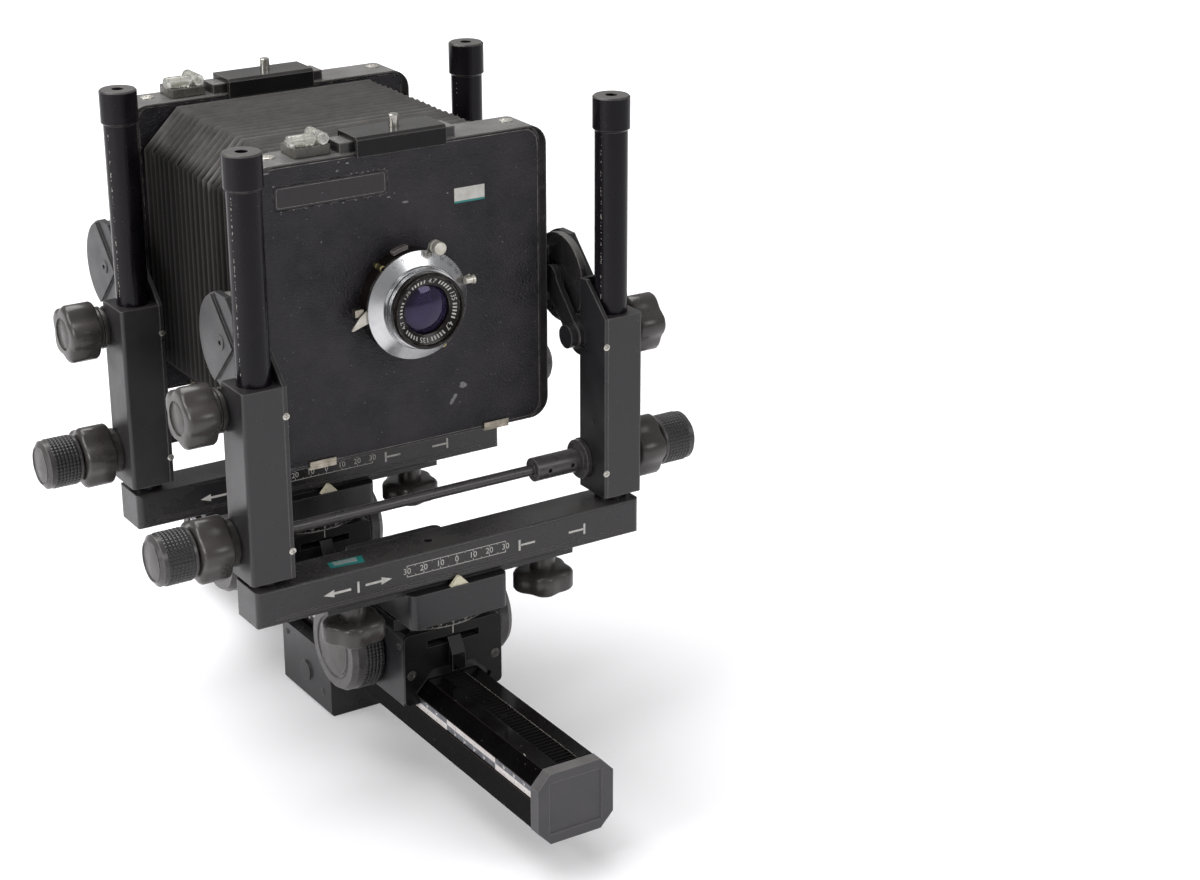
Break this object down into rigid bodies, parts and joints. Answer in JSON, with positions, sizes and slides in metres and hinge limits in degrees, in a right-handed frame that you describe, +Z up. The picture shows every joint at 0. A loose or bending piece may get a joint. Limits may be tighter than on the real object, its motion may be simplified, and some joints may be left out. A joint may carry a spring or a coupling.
{
  "type": "large format view camera",
  "caption": "Monorail view camera: geared front and rear standards, pleated bellows, lens in a leaf shutter, spring back.",
  "frame": {"origin": "the mouth of the tripod socket, on the plane the tripod block rests on", "axes": "+Z up, the lens looks along -Y, +X to the right seen from the front"},
  "size_m": [0.323, 0.43, 0.3627],
  "materials": {
    "rail_black": "glossy black anodised",
    "black_metal": "satin black",
    "column_black": "black anodised tube",
    "black_plastic": "moulded black",
    "knob_black": "satin moulded knob",
    "board_black": "wrinkle black",
    "scale_silver": "printed tape",
    "level_clear": "clear moulding on black base",
    "shutter_black": "gloss black",
    "ring_silver": "turned satin",
    "lever_nickel": "nickel",
    "cell_black": "gloss black",
    "lens": "coated",
    "bellows_black": "pleated black leatherette",
    "ground": "ground",
    "spring_steel": "leaf spring"
  },
  "bodies": {
    "base": {"rail": "rail_black", "rail_end_caps": "black_plastic", "rail_scales": "scale_silver", "tripod_block": "black_metal"},
    "tripod_clamp_knob": {"tripod_clamp_knob": "knob_black"},
    "front_carriage": {"front_carriage": "black_metal", "front_carriage_plates": "black_metal", "front_swing_table": "black_metal"},
    "front_focus_drive": {"front_focus_drive": "knob_black"},
    "front_latch": {"front_latch": "black_metal"},
    "front_carrier": {"front_carrier": "black_metal"},
    "front_swing_lock_knob": {"front_swing_lock_knob": "knob_black"},
    "front_shift_lock_knob": {"front_shift_lock_knob": "knob_black"},
    "front_bar": {"front_base_bar": "black_metal", "front_columns": "column_black"},
    "front_risers": {"front_risers": "black_metal", "front_riser_plates": "black_metal"},
    "front_rise_drive": {"front_rise_drive": "knob_black"},
    "front_rise_lock_left": {"front_rise_lock_left": "knob_black"},
    "front_rise_lock_right": {"front_rise_lock_right": "knob_black"},
    "front_tilt_knob_left": {"front_tilt_knob_left": "knob_black"},
    "front_tilt_knob_right": {"front_tilt_knob_right": "knob_black"},
    "front_frame": {"front_frame": "black_metal", "front_level": "level_clear", "front_bellows_panel": "board_black", "lens_board": "board_black", "shutter": "shutter_black", "lens_cells": "cell_black", "lens_glass": "lens"},
    "front_board_lock": {"front_board_lock": "black_metal"},
    "rear_carriage": {"rear_carriage": "black_metal", "rear_carriage_plates": "black_metal", "rear_swing_table": "black_metal"},
    "rear_focus_drive": {"rear_focus_drive": "knob_black"},
    "rear_latch": {"rear_latch": "black_metal"},
    "rear_carrier": {"rear_carrier": "black_metal"},
    "rear_swing_lock_knob": {"rear_swing_lock_knob": "knob_black"},
    "rear_shift_lock_knob": {"rear_shift_lock_knob": "knob_black"},
    "rear_bar": {"rear_base_bar": "black_metal", "rear_columns": "column_black"},
    "rear_risers": {"rear_risers": "black_metal", "rear_riser_plates": "black_metal"},
    "rear_rise_drive": {"rear_rise_drive": "knob_black"},
    "rear_rise_lock_left": {"rear_rise_lock_left": "knob_black"},
    "rear_rise_lock_right": {"rear_rise_lock_right": "knob_black"},
    "rear_tilt_knob_left": {"rear_tilt_knob_left": "knob_black"},
    "rear_tilt_knob_right": {"rear_tilt_knob_right": "knob_black"},
    "rear_frame": {"rear_frame": "black_metal", "rear_level": "level_clear", "rear_bellows_panel": "board_black", "bellows": "bellows_black", "reversing_back": "black_plastic", "back_springs": "spring_steel"},
    "rear_board_lock": {"rear_board_lock": "black_metal"},
    "speed_ring": {"speed_ring": "ring_silver"},
    "cocking_lever": {"cocking_lever": "lever_nickel"},
    "release_lever": {"release_lever": "lever_nickel"},
    "aperture_lever": {"aperture_lever": "lever_nickel"},
    "spring_back": {"spring_back": "black_plastic", "ground_glass": "ground"}
  },
  "joints": [
    {"name": "tripod_clamp", "type": "hinge", "parent": "base", "child": "tripod_clamp_knob", "pos_m": [0.034, 0, 0.0325], "axis": [1, 0, 0], "range_deg": [-90, 90]},
    {"name": "front_focus", "type": "slide", "parent": "base", "child": "front_carriage", "axis": [0, -1, 0], "range_m": [0, 0.11], "deforming": ["bellows"]},
    {"name": "front_focus_knobs", "type": "hinge", "parent": "front_carriage", "child": "front_focus_drive", "pos_m": [0, -0.0755, 0.069], "axis": [1, 0, 0], "range_deg": [-5, 540]},
    {"name": "front_rail_latch", "type": "hinge", "parent": "front_carriage", "child": "front_latch", "pos_m": [0, -0.0935, 0.08], "axis": [0, 0, 1], "range_deg": [-14, 14]},
    {"name": "front_swing", "type": "hinge", "parent": "front_carriage", "child": "front_carrier", "pos_m": [0, -0.0755, 0.1], "axis": [0, 0, 1], "range_deg": [-15, 15], "deforming": ["bellows"]},
    {"name": "front_swing_lock", "type": "hinge", "parent": "front_carrier", "child": "front_swing_lock_knob", "pos_m": [-0.056, -0.1135, 0.1], "axis": [0, 0, 1], "range_deg": [-60, 60]},
    {"name": "front_shift_lock", "type": "hinge", "parent": "front_carrier", "child": "front_shift_lock_knob", "pos_m": [0.061, -0.1135, 0.1], "axis": [0, 0, 1], "range_deg": [-60, 60]},
    {"name": "front_shift", "type": "slide", "parent": "front_carrier", "child": "front_bar", "axis": [1, 0, 0], "range_m": [-0.03, 0.03], "deforming": ["bellows"]},
    {"name": "front_rise", "type": "slide", "parent": "front_bar", "child": "front_risers", "axis": [0, 0, 1], "range_m": [-0.0035, 0.085], "deforming": ["bellows"]},
    {"name": "front_rise_knobs", "type": "hinge", "parent": "front_risers", "child": "front_rise_drive", "pos_m": [0, -0.103, 0.1578], "axis": [1, 0, 0], "range_deg": [-50, 1090]},
    {"name": "front_rise_lock_left", "type": "hinge", "parent": "front_risers", "child": "front_rise_lock_left", "pos_m": [-0.13, -0.103, 0.1578], "axis": [1, 0, 0], "range_deg": [-60, 60]},
    {"name": "front_tilt_lock_left", "type": "hinge", "parent": "front_risers", "child": "front_tilt_knob_left", "pos_m": [-0.13, -0.0995, 0.229], "axis": [1, 0, 0], "range_deg": [-60, 60]},
    {"name": "front_rise_lock_right", "type": "hinge", "parent": "front_risers", "child": "front_rise_lock_right", "pos_m": [0.13, -0.103, 0.1578], "axis": [1, 0, 0], "range_deg": [-60, 60]},
    {"name": "front_tilt_lock_right", "type": "hinge", "parent": "front_risers", "child": "front_tilt_knob_right", "pos_m": [0.13, -0.0995, 0.229], "axis": [1, 0, 0], "range_deg": [-60, 60]},
    {"name": "front_tilt", "type": "hinge", "parent": "front_risers", "child": "front_frame", "pos_m": [0, -0.0755, 0.2548], "axis": [1, 0, 0], "range_deg": [-20, 20], "deforming": ["bellows"]},
    {"name": "front_board_lock", "type": "slide", "parent": "front_frame", "child": "front_board_lock", "axis": [1, 0, 0], "range_m": [-0.004, 0.008]},
    {"name": "rear_focus", "type": "slide", "parent": "base", "child": "rear_carriage", "axis": [0, 1, 0], "range_m": [0, 0.058], "deforming": ["bellows"]},
    {"name": "rear_focus_knobs", "type": "hinge", "parent": "rear_carriage", "child": "rear_focus_drive", "pos_m": [0, 0.0755, 0.069], "axis": [-1, 0, 0], "range_deg": [-5, 285]},
    {"name": "rear_rail_latch", "type": "hinge", "parent": "rear_carriage", "child": "rear_latch", "pos_m": [0, 0.0575, 0.08], "axis": [0, 0, 1], "range_deg": [-14, 14]},
    {"name": "rear_swing", "type": "hinge", "parent": "rear_carriage", "child": "rear_carrier", "pos_m": [0, 0.0755, 0.1], "axis": [0, 0, 1], "range_deg": [-15, 15], "deforming": ["bellows"]},
    {"name": "rear_swing_lock", "type": "hinge", "parent": "rear_carrier", "child": "rear_swing_lock_knob", "pos_m": [-0.056, 0.0375, 0.1], "axis": [0, 0, 1], "range_deg": [-60, 60]},
    {"name": "rear_shift_lock", "type": "hinge", "parent": "rear_carrier", "child": "rear_shift_lock_knob", "pos_m": [0.061, 0.0375, 0.1], "axis": [0, 0, 1], "range_deg": [-60, 60]},
    {"name": "rear_shift", "type": "slide", "parent": "rear_carrier", "child": "rear_bar", "axis": [1, 0, 0], "range_m": [-0.03, 0.03], "deforming": ["bellows"]},
    {"name": "rear_rise", "type": "slide", "parent": "rear_bar", "child": "rear_risers", "axis": [0, 0, 1], "range_m": [-0.0035, 0.085], "deforming": ["bellows"]},
    {"name": "rear_rise_knobs", "type": "hinge", "parent": "rear_risers", "child": "rear_rise_drive", "pos_m": [0, 0.048, 0.1578], "axis": [1, 0, 0], "range_deg": [-50, 1090]},
    {"name": "rear_rise_lock_left", "type": "hinge", "parent": "rear_risers", "child": "rear_rise_lock_left", "pos_m": [-0.13, 0.048, 0.1578], "axis": [1, 0, 0], "range_deg": [-60, 60]},
    {"name": "rear_tilt_lock_left", "type": "hinge", "parent": "rear_risers", "child": "rear_tilt_knob_left", "pos_m": [-0.13, 0.0515, 0.229], "axis": [1, 0, 0], "range_deg": [-60, 60]},
    {"name": "rear_rise_lock_right", "type": "hinge", "parent": "rear_risers", "child": "rear_rise_lock_right", "pos_m": [0.13, 0.048, 0.1578], "axis": [1, 0, 0], "range_deg": [-60, 60]},
    {"name": "rear_tilt_lock_right", "type": "hinge", "parent": "rear_risers", "child": "rear_tilt_knob_right", "pos_m": [0.13, 0.0515, 0.229], "axis": [1, 0, 0], "range_deg": [-60, 60]},
    {"name": "rear_tilt", "type": "hinge", "parent": "rear_risers", "child": "rear_frame", "pos_m": [0, 0.0755, 0.2548], "axis": [1, 0, 0], "range_deg": [-20, 20], "deforming": ["bellows"]},
    {"name": "rear_board_lock", "type": "slide", "parent": "rear_frame", "child": "rear_board_lock", "axis": [1, 0, 0], "range_m": [-0.004, 0.008]},
    {"name": "shutter_speed", "type": "hinge", "parent": "front_frame", "child": "speed_ring", "pos_m": [0, -0.0915, 0.2603], "axis": [0, -1, 0], "range_deg": [-60, 60]},
    {"name": "shutter_cocking", "type": "hinge", "parent": "front_frame", "child": "cocking_lever", "pos_m": [0, -0.0895, 0.2603], "axis": [0, -1, 0], "range_deg": [0, 40]},
    {"name": "shutter_release", "type": "hinge", "parent": "front_frame", "child": "release_lever", "pos_m": [0, -0.0895, 0.2603], "axis": [0, -1, 0], "range_deg": [0, 12], "stiffness_Nm_per_rad": 0.003, "springref_deg": -11.46},
    {"name": "aperture", "type": "hinge", "parent": "front_frame", "child": "aperture_lever", "pos_m": [0, -0.0895, 0.2603], "axis": [0, -1, 0], "range_deg": [-20, 14]},
    {"name": "spring_back", "type": "slide", "parent": "rear_frame", "child": "spring_back", "axis": [0, 1, 0], "range_m": [0, 0.012], "stiffness_N_per_m": 300, "springref_m": -0.02, "deforming": ["back_springs"]}
  ],
  "couplings": [
    {"joint": "front_focus_knobs", "follows": "front_focus", "rad_per_m": 83.333},
    {"joint": "front_rise_knobs", "follows": "front_rise", "rad_per_m": 222.22},
    {"joint": "rear_focus_knobs", "follows": "rear_focus", "rad_per_m": 83.333},
    {"joint": "rear_rise_knobs", "follows": "rear_rise", "rad_per_m": 222.22}
  ]
}
